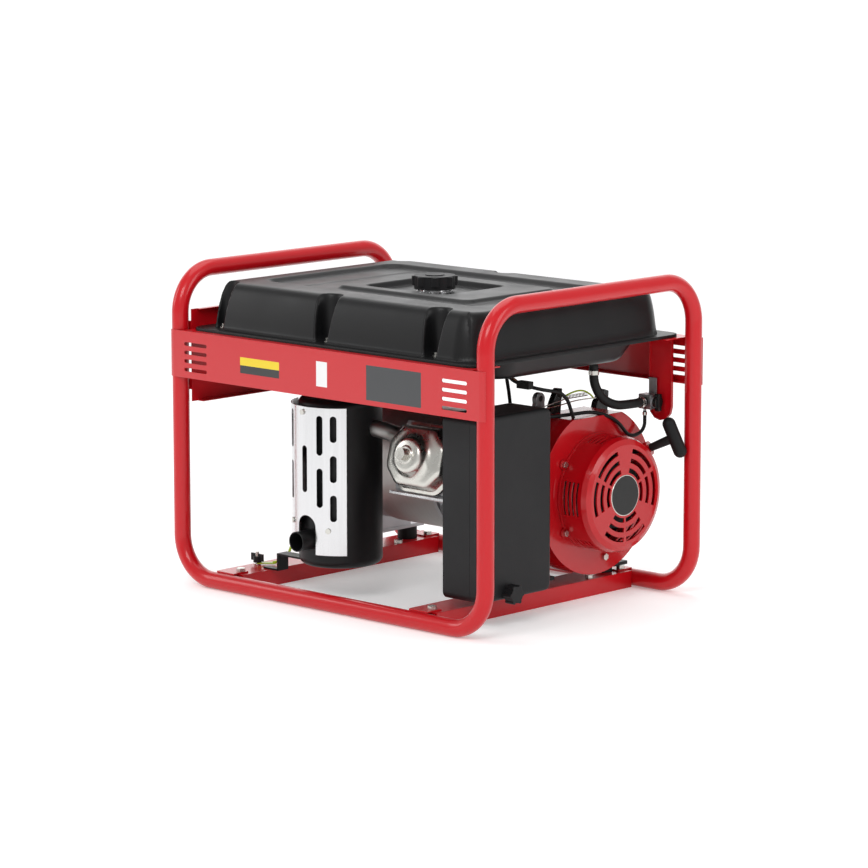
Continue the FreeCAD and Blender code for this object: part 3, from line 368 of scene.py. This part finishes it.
loft("rocker_gasket", [(262.3, 67, 55, 29, 0, 0), (262.3, 68.8, 56.8, 30, 0, 0), (264.2, 68.8, 56.8, 30, 0, 0), (264.2, 60, 50, 28, 0, 0)], "rubber")
loft("rocker_skin", [
    (264.3, 68.4, 56.4, 30, 0, 0), (264.8, 69, 57, 30, 0, 0), (266.4, 69, 57, 30, 0, 0), (267.0, 68.2, 56.2, 30, 0, 0),
    (267.4, 64.5, 52.5, 28, 0, 0), (268.6, 62.6, 50.6, 27, 0, 0), (284, 61.2, 49.2, 27, 0, 0), (288, 60, 48, 26.5, 0, 0),
    (290.8, 57.5, 45.8, 26, 0, 0), (292.2, 54, 43, 25, 0, 0), (293.0, 50, 40, 24, .15, 38), (294.5, 46, 38, 22, .55, 35),
    (297.5, 44, 37, 22, 1, 33.5), (303, 44, 37, 22, 1, 31.5), (308, 44, 37, 22, 1, 29.5), (310.6, 44, 37, 22, 1, 27.0),
    (311.8, 44, 37, 22, 1, 23), (312.2, 44, 37, 22, 1, 16), (312.4, 44, 37, 22, 1, 14.6), (313.9, 44, 37, 22, 1, 14.2), (314.1, 44, 37, 22, 1, 12)],
    "zinc", replaces="rocker_cover")


def rod(name, pts, dia, mat, body="chassis"):
    cu = D.curves.new(name, "CURVE")
    cu.dimensions = "3D"
    cu.bevel_depth = dia / 2000
    cu.bevel_resolution = 4
    cu.resolution_u = 12
    cu.use_fill_caps = True
    s = cu.splines.new("NURBS")
    s.points.add(len(pts) - 1)
    for p, q in zip(s.points, pts):
        p.co = (*[c / 1000 for c in q], 1)
    s.order_u = min(3, len(pts))
    s.use_endpoint_u = True
    o = D.objects.new(name, cu)
    link(o)
    cu.materials.append(M[mat])
    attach(o, body)
    return o


def disc(name, x, y, z, r, th, mat, n=64):
    V = [(x - th, y + r * math.cos(2 * math.pi * i / n), z + r * math.sin(2 * math.pi * i / n)) for i in range(n)]
    V += [(x, y + (r - 0.4) * math.cos(2 * math.pi * i / n), z + (r - 0.4) * math.sin(2 * math.pi * i / n)) for i in range(n)]
    F = [[i, (i + 1) % n, n + (i + 1) % n, n + i] for i in range(n)] + [[n + i for i in range(n)]]
    return mesh(name, V, F, mat, smooth=False)


E0 = Vector((290, 208, 246))
HS = (Vector((330, 222, 266)) - E0).normalized()
A0, A1, A2 = Vector((274, 130.2, 239.1)), E0 - HS * 24, E0 + HS * 1.4
V, F, sides, count = [], [], 12, 70
for k in range(count):
    t = k / (count - 1)
    p = A0.lerp(A1, t).lerp(A1.lerp(A2, t), t)
    q = ((A1 - A0) * (1 - t) + (A2 - A1) * t).normalized()
    u = q.cross(Vector((1, 0, 0.3))).normalized()
    w_ = q.cross(u)
    for j in range(sides):
        a = 2 * math.pi * j / sides
        V.append(tuple(p + u * 2.2 * math.cos(a) + w_ * 2.2 * math.sin(a)))
for k in range(count - 1):
    for j in range(sides):
        n = (j + 1) % sides
        F.append([k * sides + j, k * sides + n, (k + 1) * sides + n, (k + 1) * sides + j])
me = D.meshes.new("starter_cord")
me.from_pydata([tuple(c / 1000 for c in v) for v in V], [], F)
me.update()
cordo = D.objects.new("starter_cord", me)
link(cordo)
me.materials.append(M["rubber"])
for p in me.polygons:
    p.use_smooth = True
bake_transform(cordo)
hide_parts("starter_rope")

disc("badge_ring", 312.5, 120, 181, 34, 0.6, "zinc")
disc("badge", 312.9, 120, 181, 32.6, 0.6, "gloss")

# governor bracketry over the fan cover
V_ = []


def plate(name, outline, x0, x1, mat):
    n = len(outline)
    V = [(x0, y, z) for y, z in outline] + [(x1, y, z) for y, z in outline]
    F = [[i for i in range(n)][::-1], [n + i for i in range(n)]] + [[i, (i + 1) % n, n + (i + 1) % n, n + i] for i in range(n)]
    o = mesh(name, V, F, mat, smooth=False)
    b = o.modifiers.new("edge", "BEVEL")
    b.width = 0.0012
    b.segments = 2
    return o


ring = [(88 + 11 * math.cos(math.radians(a)), 326 + 11 * math.sin(math.radians(a))) for a in range(-30, 211, 15)]
lug = plate("lifting_lug", [(99, 304), (98, 320)] + ring[1:-1] + [(78, 320), (74, 304)], 146, 156, "alu")
hole = [(88 + 4.5 * math.cos(math.radians(a)), 327 + 4.5 * math.sin(math.radians(a))) for a in range(0, 360, 20)]
# painted shade: a black disc on the solid lug face stands in for the shaded bore of the hole and the dark gap behind
# it
plate("lug_hole_painted_shade", hole, 156.1, 156.4, "gloss")
plate("governor_wedge", [(80, 304), (104, 304), (108, 345), (98, 346), (84, 322)], 174, 186, "gloss")
plate("coil_wedge", [(190, 292), (222, 282), (226, 328), (214, 332), (196, 312)], 172, 184, "gloss")
rod("governor_rod", [(186, -60, 306), (196, 20, 318), (190, 96, 318), (184, 150, 322), (180, 206, 318)], 2.2, "zinc")
rod("governor_link", [(192, -40, 308), (205, 40, 325), (200, 110, 331)], 2.0, "zinc")
coil = []
for k in range(120):
    t = k / 119
    coil.append((186 + 3.2 * math.cos(k * 0.9), 108 + 60 * t, 329 + 3.2 * math.sin(k * 0.9)))
rod("governor_spring", coil, 1.0, "zinc")
rod("earth_lead", [(190, 104, 331), (200, 122, 342), (204, 150, 338), (196, 172, 324)], 3.0, "earth")
rod("brown_lead", [(152, 2, 378), (176, -12, 381), (204, -18, 371)], 2.6, "brown")

# ---------------------------------------------------------------- stage
def area(name, loc, aim, size, watts, col=(1, 1, 1)):
    l = D.lights.new(name, "AREA")
    l.shape = "RECTANGLE"
    l.size, l.size_y = size
    l.energy = watts
    l.color = col
    o = D.objects.new(name, l)
    link(o)
    o.location = loc
    o.rotation_euler = (Vector(aim) - Vector(loc)).to_track_quat("-Z", "Y").to_euler()
    return o


bm = bmesh.new()
bmesh.ops.create_grid(bm, x_segments=1, y_segments=1, size=30)
me = D.meshes.new("floor")
bm.to_mesh(me)
bm.free()
floor = D.objects.new("floor", me)
link(floor)
fm = Mat("floor")
fm.put("Base Color", (0.90, 0.90, 0.90, 1)).put("Roughness", 0.9)
fm.b.inputs["Specular IOR Level"].default_value = 0.1
fm.put("Emission Color", (1, 1, 1, 1)).put("Emission Strength", 0.22)
me.materials.append(fm.m)
wall = D.meshes.new("backdrop")
wall.from_pydata([(-9, 0, 0), (9, 0, 0), (9, 0, 8), (-9, 0, 8)], [], [[0, 1, 2, 3]])
wm = Mat("backdrop")
wm.put("Base Color", (0.9, 0.9, 0.9, 1)).put("Roughness", 1.0).put("Emission Color", (1, 1, 1, 1)).put("Emission Strength", 0.75)
wall.materials.append(wm.m)
drop = D.objects.new("backdrop", wall)
link(drop)
drop.location = (-5.5, 5.8, 0)
drop.rotation_euler = (0, 0, math.radians(43.5))

w = D.worlds.new("studio")
bpy.context.scene.world = w
w.use_nodes = True
w.node_tree.nodes["Background"].inputs["Color"].default_value = (1, 1, 1, 1)
w.node_tree.nodes["Background"].inputs["Strength"].default_value = 0.62
area("key", (1.2, -2.6, 2.4), (0, 0, 0.25), (1.6, 1.2), 40)
area("side", (3.0, 0.6, 1.5), (0.1, 0, 0.3), (1.2, 1.6), 20)
area("top", (-0.3, 0.2, 2.6), (0, 0, 0.3), (2.0, 2.0), 22)
area("left", (-2.6, -1.8, 1.4), (0, 0, 0.25), (0.8, 1.6), 15)

az, el, roll = math.radians(43.535), math.radians(9.44), math.radians(-0.045)
back = Vector((math.sin(az) * math.cos(el), -math.cos(az) * math.cos(el), math.sin(el)))
right = (-back).cross(Vector((0, 0, 1))).normalized()
up = right.cross(-back)
r2 = right * math.cos(roll) + up * math.sin(roll)
u2 = up * math.cos(roll) - right * math.sin(roll)
cam = D.cameras.new("camera")
cam.lens = 166.61
cam.sensor_width = 36
cam.clip_end = 100
co = D.objects.new("camera", cam)
link(co)
rot = Matrix((r2, u2, back)).transposed().to_4x4()
co.matrix_world = Matrix.Translation((4.51161, -4.75060, 1.35044)) @ rot
bpy.context.scene.camera = co
bpy.context.scene.view_settings.view_transform = "Standard"
